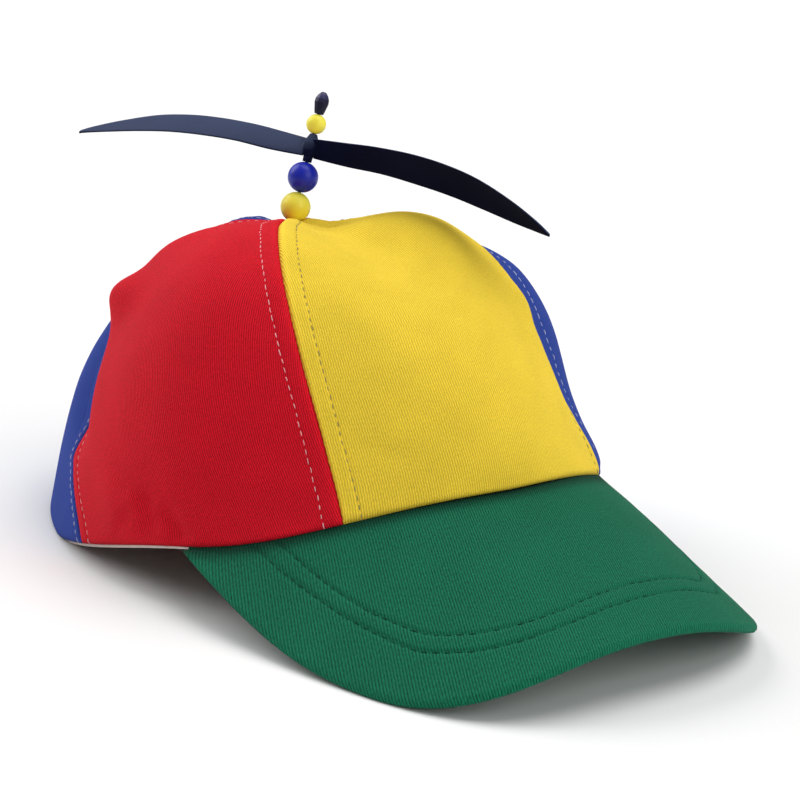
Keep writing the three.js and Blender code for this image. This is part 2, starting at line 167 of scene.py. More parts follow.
def reach_along(line):
    """Distance of each point of a line from the line's start."""
    return np.concatenate([[0], np.cumsum(np.linalg.norm(np.diff(line, axis=0), axis=1))])


def at_reach(table, reach, at):
    """Rows of a table, one for each point of a line, at distances along it."""
    return np.column_stack([np.interp(at, reach, column) for column in table.T])


def rim_plan(angle):
    a = np.radians(angle)
    return -RIM_HALF_WIDTH * np.sin(a), -RIM_HALF_LENGTH * np.cos(a)


def peak_height(x, y):
    fall = math.tan(math.radians(PEAK_PITCH)) * (-y - RIM_HALF_LENGTH)
    return PEAK_ROOT_HEIGHT - fall - PEAK_ARCH * (np.abs(x) / PEAK_ARCH_AT) ** PEAK_ARCH_POWER


def hem_height(angle):
    from_front = np.abs(half_round(angle))
    over_peak = peak_height(*rim_plan(np.minimum(from_front, PEAK_END))) + HEM_LIFT
    back = np.clip((from_front - PEAK_END) / HEM_RUN, 0, 1)
    return over_peak * (1 - back - HEM_EASING * (smooth(back, 0, 1) - back))


def seam_angle(seam, up):
    values = np.array(SEAMS[seam], float)
    return between_rows(values, np.clip(up, 0, 0.99999) * (len(values) - 1))


def fold_depth(angle, up):
    depth = np.zeros(np.broadcast(angle, up).shape)
    for at, height, deep, round_spread, rise_spread, slant in FOLDS:
        turn = half_round(angle - at - slant * (up - height))
        depth += deep * bell(turn, round_spread) * bell(up - height, rise_spread)
    for seam, deep, spread, low, high, soft in VALLEYS:
        turn = half_round(angle - seam_angle(seam, up))
        top = 1 - smooth(up, high - VALLEY_TOP_SOFTNESS, high + VALLEY_TOP_SOFTNESS)
        depth -= deep * bell(turn, spread) * smooth(up, low - soft, low + soft) * top
    return depth * smooth(up, 0, 0.04) * smooth(1 - up, 0.01, 0.07)


def crown(angle, up):
    """Outer face of the crown from the hem (up 0) to the button (up 1)."""
    angle, up = np.broadcast_arrays(np.asarray(angle, float), np.asarray(up, float))
    ring = np.vstack([SECTIONS, SECTIONS[-2:0:-1]])
    section = between_rows(ring, np.mod(angle, 360) / 360 * len(ring), wraps=True)
    wall_out, wall_up, top_out, top_up = np.moveaxis(section, -1, 0)
    x, y = rim_plan(angle)
    hem = hem_height(angle)
    a, b, c, d = (1 - up) ** 3, 3 * (1 - up) ** 2 * up, 3 * (1 - up) * up ** 2, up ** 3
    out = a + b * wall_out + c * top_out
    rise = b * wall_up + c * top_up + d
    point = np.stack([x * out, BUTTON[1] + (y - BUTTON[1]) * out, hem + (BUTTON[2] - hem) * rise], -1)
    heart = np.zeros_like(point)
    heart[..., 1] = BUTTON[1] / 2
    heart[..., 2] = np.minimum(point[..., 2], BUTTON[2] / 2)
    return point + unit(point - heart) * fold_depth(angle, up)[..., None]


def crown_normal(angle, up):
    rise = crown(angle, np.minimum(up + 0.004, 1)) - crown(angle, np.maximum(up - 0.004, 0))
    return unit(np.cross(rise, crown(angle + 0.4, up) - crown(angle - 0.4, up)))


def ripple(points, size):
    """Smooth uneven rise and fall of limp cloth, about -1 to 1, over distances of about size."""
    flat = points.reshape(-1, 3) / size
    return np.array([noise.noise(Vector(p)) for p in flat]).reshape(points.shape[:-1])


def new_piece(name, points, faces, flat=None, rub_and_shade=None):
    """Mesh object from points in millimetres, with the cloth's own flat coordinates, its rubbed places and
    its painted shade.
    """
    mesh = bpy.data.meshes.new(name)
    mesh.from_pydata(((np.asarray(points) + RIM_MIDDLE) * MM).tolist(), [], [list(f) for f in faces])
    mesh.polygons.foreach_set("use_smooth", np.ones(len(mesh.polygons), bool))
    if flat is not None:
        corners = np.zeros(len(mesh.loops), np.int32)
        mesh.loops.foreach_get("vertex_index", corners)
        layer = mesh.uv_layers.new(name="cloth")
        layer.data.foreach_set("uv", np.asarray(flat, np.float32)[corners].ravel())
    if rub_and_shade is not None:
        wear_and_shade = mesh.attributes.new("rub_and_shade", "FLOAT", "POINT")
        wear_and_shade.data.foreach_set("value", np.asarray(rub_and_shade, np.float32))
    mesh.update()
    return placed(name, mesh)


def new_shell(name, outer, inner, flat, rub_and_shade=None, wraps=False):
    """Closed shell of an outer and an inner face, each given as columns of points."""
    columns, rows = outer.shape[:2]
    spans, last = columns if wraps else columns - 1, rows - 1
    faces = []

    def face(*corners):
        faces.append([(layer * columns + i % columns) * rows + j for layer, i, j in corners])
    for i in range(spans):
        for j in range(last):
            face((0, i, j), (0, i, j + 1), (0, i + 1, j + 1), (0, i + 1, j))
            face((1, i, j), (1, i + 1, j), (1, i + 1, j + 1), (1, i, j + 1))
        face((0, i, 0), (0, i + 1, 0), (1, i + 1, 0), (1, i, 0))
        face((0, i, last), (1, i, last), (1, i + 1, last), (0, i + 1, last))
    if not wraps:
        for j in range(last):
            face((0, 0, j), (1, 0, j), (1, 0, j + 1), (0, 0, j + 1))
            face((0, spans, j), (0, spans, j + 1), (1, spans, j + 1), (1, spans, j))
    points = np.concatenate([outer.reshape(-1, 3), inner.reshape(-1, 3)])
    flat = np.tile(flat.reshape(-1, 2), (2, 1))
    return new_piece(name, points, faces, flat, None if rub_and_shade is None else np.tile(rub_and_shade.ravel(), 2))


# distance of the topstitching from its seam: the usual one, beside a drawn-in seam, and right in the valley
TOPSTITCH_FROM_SEAM, TOPSTITCH_NEAR, TOPSTITCH_CLOSE = 5.4, 2.6, 1.1
SCALLOP, SCALLOP_PITCH = 0.07, 2.6
# distances from a seam at which the panel has a column of points
BORDER = np.array([
    0, 0.2, 0.45, 0.75, 1.1, 1.6, 2.3, 3.1, 3.9, 4.5, 4.9, 5.2, 5.4, 5.6, 5.9, 6.3, 6.9, 7.8, 9.0])
BORDER_NARROWS_BELOW = 30
PANEL_MIDDLE_COLUMNS, PANEL_MEASURES = 34, 61
HEM_ROWS = [0, 0.0008, 0.002, 0.0035, 0.0055, 0.008, 0.011, 0.015, 0.02, 0.026]
PANEL_ROWS = np.concatenate([HEM_ROWS, np.linspace(0.032, PANEL_TOP, 190)])
HEM_ROUND_IN, HEM_ROUND_UP = 1.15, 2.0
HEM_LOOSE, HEM_LOOSE_UP, HEM_LOOSE_ENDS = 0.35, 3.0, 6
TURNED_EDGE, TURNED_EDGE_WIDTH, FURROW, FURROW_WIDTH = 0.6, 0.45, 0.24, 0.5
TURNINGS, TURNINGS_START, TURNINGS_END = 0.3, (0.3, 1.4), (4.6, 6.6)
# height and size of the cloth's waves, and of the puckers along the topstitching
WAVES = [(0.3, 24.0), (0.12, 9.0)]
PUCKER, PUCKER_SIZE, PUCKER_REACH = 0.2, 4.5, 3.0
# a worn band along each seam, shown lighter, and painted shade that darkens the cloth just above the hem
RUBBED_FROM_SEAM, RUBBED_WIDTH = 1.3, 0.8
HEM_SHADE, HEM_SHADE_UP = 5.0, 0.7


def border_relief(from_seam):
    """Turned edge, raised turnings and the furrow under the topstitching, by distance from the seam."""
    edge = -TURNED_EDGE * bell(from_seam, TURNED_EDGE_WIDTH)
    turnings = TURNINGS * smooth(from_seam, *TURNINGS_START) * (1 - smooth(from_seam, *TURNINGS_END))
    furrow = -FURROW * bell(from_seam - TOPSTITCH_FROM_SEAM, FURROW_WIDTH)
    return edge + turnings + furrow


def crease_relief(points):
    relief = np.zeros(points.shape[:-1])
    for a0, u0, a1, u1, deep, width in CREASES:
        start, end = crown(a0, u0), crown(a1, u1)
        long = np.linalg.norm(end - start)
        along = (end - start) / long
        share = np.clip((points - start) @ along / long, -0.3, 1.3)
        away = np.linalg.norm(points - start - (share * long)[..., None] * along, axis=-1)
        relief += deep * bell(away, width) * smooth(share, -0.3, 0.2) * (1 - smooth(share, 0.7, 1.3))
    return relief


def sewn_angle(seam, up):
    """Rim angle of a seam, scalloped a little by the stitches that draw the two edges together."""
    angle = seam_angle(seam, up)
    reach = reach_along(crown(angle, up))
    per_degree = np.linalg.norm(crown(angle + 0.5, up) - crown(angle - 0.5, up), axis=1)
    scallop = SCALLOP * np.sin(reach * 2 * math.pi / SCALLOP_PITCH) * smooth(per_degree, 0.05, 0.5)
    return angle + scallop / np.maximum(per_degree, 0.05)


def row_from_seam(name, seam, up):
    """Distance of the topstitching from a seam; two rows close up to it where the cloth is drawn in."""
    if (name, seam) == ("cloth_front", "front_left"):
        return TOPSTITCH_FROM_SEAM + (TOPSTITCH_CLOSE - TOPSTITCH_FROM_SEAM) * smooth(up, 0.5, 0.72)
    if (name, seam) == ("cloth_back_right", "back_right"):
        drawn_in = smooth(up, 0.16, 0.24) * (1 - smooth(up, 0.8, 0.9))
        return TOPSTITCH_NEAR + (TOPSTITCH_CLOSE - TOPSTITCH_NEAR) * drawn_in
    return np.full(up.shape, TOPSTITCH_FROM_SEAM)


def panel(name, from_seam, to_seam):
    """One sewn panel, and the two lines that its topstitching follows."""
    up = PANEL_ROWS
    start = sewn_angle(from_seam, up)
    turn = np.mod(sewn_angle(to_seam, up) - start, 360)
    angles = start[:, None] + turn[:, None] * np.linspace(0, 1, PANEL_MEASURES)
    steps = np.linalg.norm(np.diff(crown(angles, up[:, None]), axis=1), axis=2)
    reach = np.concatenate([np.zeros((len(up), 1)), np.cumsum(steps, axis=1)], axis=1)
    width = reach[:, -1]
    scale = np.minimum(1.0, width / BORDER_NARROWS_BELOW)
    middle = np.linspace(0, 1, PANEL_MIDDLE_COLUMNS + 2)[1:-1]
    side = BORDER * scale[:, None] + SEAM_GAP
    inside = side[:, -1:] + (width[:, None] - 2 * side[:, -1:]) * middle
    across = np.concatenate([side, inside, width[:, None] - side[:, ::-1]], axis=1)
    angle = np.array([np.interp(s, r, a) for s, r, a in zip(across, reach, angles)])
    points = crown(angle, up[:, None])
    normal = crown_normal(angle, up[:, None])
    rise = reach_along(points[:, points.shape[1] // 2])
    from_edge = np.minimum(across, width[:, None] - across) / scale[:, None]

    relief = border_relief(from_edge) * np.minimum(1, scale[:, None] * 1.2)
    for height, size in WAVES:
        relief += height * ripple(points, size)
    relief += PUCKER * ripple(points, PUCKER_SIZE) * bell(from_edge - TOPSTITCH_FROM_SEAM, PUCKER_REACH)
    relief += crease_relief(points)
    relief *= smooth(up, 0, 0.02)[:, None] * 0.8 + 0.2
    hem_round = HEM_ROUND_IN * (1 - np.sqrt(1 - (1 - np.clip(rise / HEM_ROUND_UP, 0, 1)) ** 2))
    outer = points + normal * (relief - hem_round[:, None])[..., None]
    inner = points - normal * (CLOTH_THICK - hem_round[:, None] * 0.1)[..., None]
    inner += normal * (np.minimum(border_relief(from_edge), 0) * 0.3)[..., None]
    outer[0, :, 2] = inner[0, :, 2] = points[0, :, 2]
    over_peak = 1 - smooth(np.abs(half_round(angle)), PEAK_END - HEM_LOOSE_ENDS, PEAK_END)
    loose = HEM_LOOSE * over_peak * bell(rise[:, None], HEM_LOOSE_UP)
    for face in (outer, inner):
        face[..., 2] = np.maximum(face[..., 2] + loose, 0.0)

    even_width = np.polyval(np.polyfit(up, width, 4), up)[:, None]
    grain = ((angle - start[:, None]) / turn[:, None] - 0.5) * even_width
    flat = np.stack([grain, np.broadcast_to(rise[:, None], across.shape)], -1)
    # worn lighter near the seams; painted shade at the hem, where the hem's shadow falls
    rub_and_shade = bell(from_edge - RUBBED_FROM_SEAM, RUBBED_WIDTH) - HEM_SHADE * bell(rise[:, None], HEM_SHADE_UP)
    piece = new_shell(name, *(np.swapaxes(table, 0, 1) for table in (outer, inner, flat, rub_and_shade)))

    lines = []
    for seam, from_left in ((from_seam, True), (to_seam, False)):
        columns = np.argmin(np.abs(BORDER - row_from_seam(name, seam, up)[:, None]), axis=1)
        row = np.arange(len(up)), columns if from_left else -1 - columns
        lines.append((outer[row], normal[row]))
    return piece, lines


VALUE, COLOUR, VECTOR = "NodeSocketFloat", "NodeSocketColor", "NodeSocketVector"


def shader_group(name, inputs, outputs):
    """Empty node group with named sockets, and the sockets inside it."""
    group = bpy.data.node_groups.new(name, "ShaderNodeTree")
    for socket, kind in inputs.items():
        group.interface.new_socket(socket, in_out="INPUT", socket_type=kind)
    for socket, kind in outputs.items():
        group.interface.new_socket(socket, in_out="OUTPUT", socket_type=kind)
    return group, group.nodes.new("NodeGroupInput").outputs, group.nodes.new("NodeGroupOutput").inputs


def feed(tree, sockets, values):
    """Gives sockets, by number or name, a plain value or another node's output each."""
    for key, value in values.items():
        if isinstance(value, bpy.types.NodeSocket):
            tree.links.new(value, sockets[key])
        else:
            sockets[key].default_value = value


def node(tree, kind, inputs=None, **settings):
    """Outputs of a new shader node with its settings and inputs."""
    made = tree.nodes.new(kind)
    for key, value in settings.items():
        setattr(made, key, value)
    feed(tree, made.inputs, inputs or {})
    return made.outputs


def sums(tree, operation, *values):
    return node(tree, "ShaderNodeMath", dict(enumerate(values)), operation=operation)[0]


def scaled(tree, value, times, plus=0.0):
    return sums(tree, "MULTIPLY_ADD", value, times, plus)


def mottle(tree, place, scale, detail=2.0, distortion=0.0):
    """Even noise from 0 to 1 over a surface."""
    settings = {"Vector": place, "Scale": scale, "Detail": detail, "Distortion": distortion}
    return node(tree, "ShaderNodeTexNoise", settings)["Fac"]


def swell(tree, turns):
    """Even rise and fall between 0 and 1, once for each whole turn."""
    return scaled(tree, sums(tree, "COSINE", scaled(tree, turns, 2 * math.pi)), 0.5, 0.5)


def blended(tree, amount, first, second, blend_type="MIX"):
    """Two colours mixed by an amount."""
    return node(tree, "ShaderNodeMix", {"Factor": amount, 6: first, 7: second},
                data_type="RGBA", blend_type=blend_type)[2]


def shaded(tree, colour, value):
    """A colour made lighter or darker by a value."""
    grey = node(tree, "ShaderNodeCombineColor", {0: value, 1: value, 2: value})[0]
    return blended(tree, 1.0, colour, grey, "MULTIPLY")


def raised(tree, height, strength, distance):
    """Normals of fine relief, whose height of 1 stands for a distance in metres."""
    settings = {"Height": height, "Strength": strength, "Distance": distance}
    return node(tree, "ShaderNodeBump", settings)["Normal"]


def new_material(name):
    made = bpy.data.materials.new(name)
    made.use_nodes = True
    made.node_tree.nodes.clear()
    shader = made.node_tree.nodes.new("ShaderNodeBsdfPrincipled")
    output = made.node_tree.nodes.new("ShaderNodeOutputMaterial")
    made.node_tree.links.new(shader.outputs["BSDF"], output.inputs["Surface"])
    return made, made.node_tree, shader.inputs


# Twill: slanted wales, each a row of short warp floats; the weft shows between them, and painted shade
# darkens the low places of the weave while painted light brightens the wale tops.
WALE_PITCH, WALE_WANDER, WANDER_SCALE = 0.74, 0.6, 0.05
FLOAT_LENGTH, FLOAT_RISE = 1.5, 0.2
SLUB_SCALE, SLUB_STRETCH, SLUB_RISE = 2.6, 0.4, 0.3
CLOUD_SCALE, CLOUD_STRENGTH, RUB_AND_SHADE_STRENGTH = 0.07, 0.22, 0.1
twill, t_in, t_out = shader_group(
    "twill_weave",
    {"Place": VECTOR, "Cloth": COLOUR, "Wale Angle": VALUE, "Wale Pitch": VALUE, "Contrast": VALUE,
     "Speckle": VALUE, "Rubbed And Shaded": VALUE},
    {"Colour": COLOUR, "Height": VALUE, "Roughness": VALUE})
flat_x, flat_y = node(twill, "ShaderNodeSeparateXYZ", {0: t_in["Place"]})[:2]
cosine = sums(twill, "COSINE", t_in["Wale Angle"])
sine = sums(twill, "SINE", t_in["Wale Angle"])
along = sums(twill, "ADD", scaled(twill, flat_x, cosine), scaled(twill, flat_y, sine))
aside = sums(twill, "SUBTRACT", scaled(twill, flat_y, cosine), scaled(twill, flat_x, sine))
wander = scaled(twill, mottle(twill, t_in["Place"], WANDER_SCALE, 1.0), WALE_WANDER)
wale = sums(twill, "DIVIDE", sums(twill, "ADD", aside, wander), t_in["Wale Pitch"])
whole_wale = sums(twill, "ROUND", wale)
step = node(twill, "ShaderNodeTexWhiteNoise", {"W": whole_wale}, noise_dimensions="1D")["Value"]
float_length = scaled(twill, t_in["Wale Pitch"], FLOAT_LENGTH)
yarn = swell(twill, sums(twill, "ADD", sums(twill, "DIVIDE", along, float_length), step))
rib = sums(twill, "POWER", swell(twill, wale), 0.8)
height = scaled(twill, rib, scaled(twill, yarn, FLOAT_RISE, 1 - FLOAT_RISE))
slub_place = node(twill, "ShaderNodeCombineXYZ", {0: scaled(twill, along, SLUB_STRETCH), 1: aside})[0]
slub = mottle(twill, slub_place, SLUB_SCALE, 3.0)
cloudy = mottle(twill, t_in["Place"], CLOUD_SCALE, 3.0)
# painted light and shade by the weave's height, then the yarn's own slubs and clouds of tone
tone_and_shading = scaled(twill, sums(twill, "SUBTRACT", height, 0.45), t_in["Contrast"], 1.0)
tone_and_shading = scaled(twill, sums(twill, "SUBTRACT", slub, 0.5), t_in["Speckle"], tone_and_shading)
tone_and_shading = scaled(twill, sums(twill, "SUBTRACT", cloudy, 0.5), CLOUD_STRENGTH, tone_and_shading)
# rubbed places come out lighter; painted shade darkens the crown's hem and the peak's root
tone_and_shading = scaled(twill, tone_and_shading, scaled(twill, t_in["Rubbed And Shaded"], RUB_AND_SHADE_STRENGTH, 1.0))
feed(twill, t_out, {
    "Colour": shaded(twill, t_in["Cloth"], tone_and_shading),
    "Height": scaled(twill, slub, SLUB_RISE, height),
    "Roughness": scaled(twill, height, -0.1, 0.92)})


def twill_cloth(name, colour, wale_angle, contrast=0.34, speckle=0.5):
    made, tree, shader = new_material(name)
    place = node(tree, "ShaderNodeUVMap", uv_map="cloth")["UV"]
    wear_and_shade = node(tree, "ShaderNodeAttribute", attribute_name="rub_and_shade")["Fac"]
    weave = node(tree, "ShaderNodeGroup", {
        "Place": place, "Cloth": (*colour, 1.0), "Wale Angle": math.radians(wale_angle), "Contrast": contrast,
        "Wale Pitch": WALE_PITCH, "Speckle": speckle, "Rubbed And Shaded": wear_and_shade}, node_tree=twill)
    relief = raised(tree, weave["Height"], 0.6, 0.00022)
    feed(tree, shader, {
        "Base Color": weave["Colour"], "Roughness": weave["Roughness"], "Normal": relief,
        "Specular IOR Level": 0.1, "Sheen Weight": 0.02, "Sheen Roughness": 0.45})
    return made


YELLOW, RED, BLUE = (0.83, 0.59, 0.045), (0.585, 0.0055, 0.017), (0.0255, 0.055, 0.295)
yellow_twill = twill_cloth("yellow_twill", YELLOW, 93, contrast=0.42)
red_twill = twill_cloth("red_twill", RED, 90, contrast=0.7, speckle=1.0)
blue_twill = twill_cloth("blue_twill", BLUE, 84)
PANELS = [
    ("panel_front", "front_left", "front_right", yellow_twill, "cloth_yellow"),
    ("panel_right", "front_right", "back_right", red_twill, "cloth_red"),
    ("panel_back_right", "back_right", "back", blue_twill, "cloth_blue"),
    ("panel_back_left", "back", "back_left", red_twill, "cloth_red"),
    ("panel_left", "back_left", "front_left", blue_twill, "cloth_blue"),
]
topstitch_lines = {}
for panel_name, seam_a, seam_b, cloth, cloth_slot in PANELS:
    cloth_name = panel_name.replace("panel", "cloth")
    cloth_piece, topstitch_lines[panel_name] = panel(cloth_name, seam_a, seam_b)
    cloth_piece.data.materials.append(cloth)
    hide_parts(panel_name)
    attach(cloth_piece, "cap")

# Topstitching: a row of cotton lockstitch down each side of every seam, which holds the turnings flat.
# Each stitch rises a little out of its furrow and dives into its two needle holes; no two are quite alike.
STITCH_PITCH, STITCH_LENGTH, STITCH_LIFT = 2.75, 2.15, 0.16
STITCH_RINGS = np.array([-0.5, -0.42, -0.25, 0.0, 0.25, 0.42, 0.5])
STITCH_START, STITCH_DIVE, STITCH_SEED = 0.4, 0.6, 5
THREAD_SIDES, THREAD_FLATNESS, THREAD_END = 8, 0.8, 0.45
# least and most of each stitch's own length, thickness and lift, as shares, and of its sideways slip
UNEVEN_LEAST, UNEVEN_MOST = (0.66, 0.75, 0.35, -0.14), (1.06, 1.1, 1.1, 0.14)


def tube_faces(rings, sides, base=0, closes=False):
    """Faces between neighbouring rings of points; a tube that doesn't close on itself has two ends."""
    faces = []
    for i in range(rings if closes else rings - 1):
        here, there = base + i * sides, base + (i + 1) % rings * sides
        for j in range(sides):
            k = (j + 1) % sides
            faces.append((here + j, there + j, there + k, here + k))
    if not closes:
        end = base + rings * sides
        faces += [range(base, base + sides), range(end - 1, end - sides - 1, -1)]
    return faces


def stitch_rows(name, lines, pitch, length, width, lift):
    """Rows of separate stitches along lines of surface points and normals."""
    points, faces = [], []
    turn = np.arange(THREAD_SIDES) * 2 * math.pi / THREAD_SIDES
    uneven = np.random.default_rng(STITCH_SEED)
    for line, normals in lines:
        reach = reach_along(line)
        for middle in np.arange(length / 2 + STITCH_START, reach[-1] - length / 2, pitch):
            longer, thicker, higher, slip = uneven.uniform(UNEVEN_LEAST, UNEVEN_MOST)
            at = middle + STITCH_RINGS * length * longer
            spine, up = at_reach(line, reach, at), unit(at_reach(normals, reach, at))
            side = unit(np.cross(unit(np.gradient(spine, axis=0)), up))
            arch = np.cos(STITCH_RINGS * math.pi)
            thick = width * thicker / 2 * (THREAD_END + (1 - THREAD_END) * np.sqrt(arch))
            lifted = lift * ((1 + STITCH_DIVE) * arch * higher - STITCH_DIVE)
            spine = spine + up * lifted[:, None] + side * slip
            sideways = side[:, None] * np.cos(turn)[None, :, None]
            upwards = THREAD_FLATNESS * up[:, None] * np.sin(turn)[None, :, None]
            faces.extend(tube_faces(len(STITCH_RINGS), THREAD_SIDES, len(points)))
            points.extend((spine[:, None] + thick[:, None, None] * (sideways + upwards)).reshape(-1, 3))
    return new_piece(name, np.array(points), faces)


# Twisted thread: fine slanted plies, darker in between.
PLY_SCALE, PLY_DISTORTION, PLY_SHADE = 900.0, 1.5, 0.28
twist, twist_in, twist_out = shader_group(
    "thread_twist", {"Place": VECTOR, "Thread": COLOUR}, {"Colour": COLOUR, "Height": VALUE})
ply_settings = {"Vector": twist_in["Place"], "Scale": PLY_SCALE, "Distortion": PLY_DISTORTION}
plies = node(twist, "ShaderNodeTexWave", ply_settings, bands_direction="DIAGONAL")["Fac"]
ply_shade = scaled(twist, plies, PLY_SHADE, 1 - PLY_SHADE)
feed(twist, twist_out, {"Colour": shaded(twist, twist_in["Thread"], ply_shade), "Height": plies})


def thread(name, colour):
    made, tree, shader = new_material(name)
    place = node(tree, "ShaderNodeTexCoord")["Object"]
    twisted = node(tree, "ShaderNodeGroup", {"Place": place, "Thread": (*colour, 1.0)}, node_tree=twist)
    relief = raised(tree, twisted["Height"], 0.4, 0.0001)
    feed(tree, shader, {
        "Base Color": twisted["Colour"], "Normal": relief, "Roughness": 0.75, "Specular IOR Level": 0.1})
    return made


# each thread with its width; the crown's topstitching is copies of one grey thread with painted light and
# shade: darker on the yellow panel, paler and tinted on the red and blue ones
grey_thread = thread("grey_thread", (0.42, 0.33, 0.10)), 0.4
pale_thread = thread("pale_thread", (1.0, 0.46, 0.48)), 0.34
cool_thread = thread("cool_thread", (0.42, 0.46, 0.72)), 0.5
THREADS = [grey_thread, pale_thread, cool_thread, pale_thread, cool_thread]
for (panel_name, *_, cloth_slot), (cotton, thread_width) in zip(PANELS, THREADS):
    row_piece = stitch_rows(panel_name.replace("panel", "topstitch"), topstitch_lines[panel_name],
                            STITCH_PITCH, STITCH_LENGTH, thread_width, STITCH_LIFT)
    row_piece.data.materials.append(cotton)
    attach(row_piece, "cap")

# Peak: a stiff board covered in green twill above and below, bent to an arch and sewn in under the front hem.
# Two rows of stitching run parallel to its edge; the cloth is drawn in along them and rolls over the edge.
PEAK_HALF_WIDTH, PEAK_REACH, PEAK_SQUARENESS, PEAK_CORNER = 71.3, 62.5, 3.28, 58.8
PEAK_THICK, PEAK_END_WIDTH, PEAK_ROOT_TUCK = 3.2, 0.8, 1.6
PEAK_COLUMNS, PEAK_MIDDLE_ROWS, PEAK_NOSE_ROWS, PEAK_BORDER_ROWS = 300, 24, 8, 50
PEAK_BORDER_START, PEAK_BORDER, PEAK_BORDER_MOST = 2.2, 24, 0.92
EDGE_MEASURES, FINE_EDGE_POINTS = 1801, 1500
PEAK_WAVES = [(0.16, 18.0), (0.07, 6.0)]
PEAK_FURROW, PEAK_FURROW_WIDTH, PEAK_PAD, PEAK_PAD_EASE = 0.45, 0.5, 0.14, 1.2
# width of the worn band along the edge; strength and width of the painted shade along the root, under the hem
PEAK_RUB_WIDTH, PEAK_ROOT_SHADE, PEAK_ROOT_SHADE_WIDTH = 1.6, 7.0, 2.3
SLOPE_STEP, LEAST_THICK = 0.2, 0.02
GREEN = (0.0065, 0.123, 0.065)
# distance of the two stitch rows from the edge, by the place along it from the wearer's left end to the right
PEAK_ROW_PLACES = [-1, -0.7, -0.5, -0.34, -0.24, -0.16, -0.05, 0.11, 0.28, 0.38, 0.455, 0.58, 0.7, 0.835, 1]
PEAK_STITCH_ROWS = [
    [10.5, 11, 11, 12.2, 14.8, 15.6, 14.3, 12.4, 12.6, 12.1, 11.1, 11.3, 11.2, 10.5, 10.0],
    [14.3, 14.6, 15, 16.9, 20, 20.7, 19.8, 17.3, 17.6, 16.7, 15.2, 14.6, 14.6, 14.3, 14.0],
]


def peak_edge(count):
    """Even points along the peak's edge in plan, from the wearer's left end to the right one."""
    end_x, end_y = rim_plan(PEAK_END)
    grow = 1 + PEAK_END_WIDTH / math.hypot(end_x, end_y)
    end_x, end_y = end_x * grow, end_y * grow
    turn = np.linspace(-90, 90, EDGE_MEASURES)
    side = np.abs(np.sin(np.radians(turn))) ** (2 / PEAK_SQUARENESS)
    front = np.abs(np.cos(np.radians(turn))) ** (2 / PEAK_SQUARENESS)
    pull = np.clip((np.abs(turn) - PEAK_CORNER) / (90 - PEAK_CORNER), 0, 1) ** 2
    x = -np.sign(turn) * (PEAK_HALF_WIDTH * side * (1 - pull) + abs(end_x) * pull)
    line = np.column_stack([x, end_y - (RIM_HALF_LENGTH + PEAK_REACH + end_y) * front])
    reach = reach_along(line)
    return at_reach(line, reach, np.linspace(0, reach[-1], count))


edge = peak_edge(PEAK_COLUMNS)
root = np.column_stack(rim_plan(np.linspace(-1, 1, PEAK_COLUMNS) * PEAK_END))
length = np.linalg.norm(edge - root, axis=1)
nose = PEAK_THICK / 2
nose_steps = nose * (1 - np.cos(np.linspace(0, math.pi / 2, PEAK_NOSE_ROWS)))
border_steps = np.concatenate([nose_steps, np.linspace(PEAK_BORDER_START, PEAK_BORDER, PEAK_BORDER_ROWS)])
border_scale = np.minimum(1, PEAK_BORDER_MOST * length / PEAK_BORDER)
border = 1 - border_steps * border_scale[:, None] / length[:, None]
inner_share = np.linspace(0, 1, PEAK_MIDDLE_ROWS)[:-1] * border[:, -1:]
share = np.concatenate([inner_share, border[:, ::-1]], axis=1)
plan = root[:, None] * (1 - share[..., None]) + edge[:, None] * share[..., None]
tuck = root * (1 - PEAK_ROOT_TUCK / np.linalg.norm(root, axis=1, keepdims=True))
plan = np.concatenate([tuck[:, None], plan], axis=1)
share = np.concatenate([np.zeros((PEAK_COLUMNS, 1)), share], axis=1)
plan_x, plan_y = plan[..., 0], plan[..., 1]
skin = np.concatenate([plan, peak_height(plan_x, plan_y)[..., None]], axis=-1)
rise_x = peak_height(plan_x + SLOPE_STEP, plan_y) - peak_height(plan_x - SLOPE_STEP, plan_y)
rise_y = peak_height(plan_x, plan_y + SLOPE_STEP) - peak_height(plan_x, plan_y - SLOPE_STEP)
normal = unit(np.stack([-rise_x, -rise_y, np.full(rise_x.shape, 2 * SLOPE_STEP)], -1))
lean = smooth(share, 0.02, 0.3)[..., None]
across = unit(np.array([0, 0, 1.0]) * (1 - lean) + normal * lean)
fine_edge = peak_edge(FINE_EDGE_POINTS)
away = [np.sqrt(((column[:, None] - fine_edge[None]) ** 2).sum(-1)) for column in plan]
edge_distance = np.array([distances.min(1) for distances in away])
edge_place = np.array([distances.argmin(1) for distances in away]) / (len(fine_edge) - 1) * 2 - 1
half = nose * np.sqrt(1 - (1 - np.clip(edge_distance / nose, 0, 1)) ** 2)
half = np.where(share <= 0, nose, np.maximum(half, LEAST_THICK))
relief = sum(wave * ripple(skin, size) for wave, size in PEAK_WAVES)
relief *= smooth(edge_distance, 0.4, 3.0)
row_places = [np.interp(edge_place, PEAK_ROW_PLACES, distances) for distances in PEAK_STITCH_ROWS]
for row_at in row_places:
    relief -= PEAK_FURROW * bell(edge_distance - row_at, PEAK_FURROW_WIDTH)
outer_row, inner_row = row_places
padded = smooth(edge_distance, outer_row, outer_row + PEAK_PAD_EASE)
relief += PEAK_PAD * padded * (1 - smooth(edge_distance, inner_row - PEAK_PAD_EASE, inner_row))
middle = skin + across * (PEAK_THICK * (share - 0.5))[..., None]
peak_top = middle + across * (half + relief * (share > 0))[..., None]
peak_under = middle - across * (half + 0.6 * relief * (share > 0.1))[..., None]
peak_under[..., 2] = np.maximum(peak_under[..., 2], 0.0)
peak_top[..., 2] = np.maximum(peak_top[..., 2], peak_under[..., 2] + LEAST_THICK)
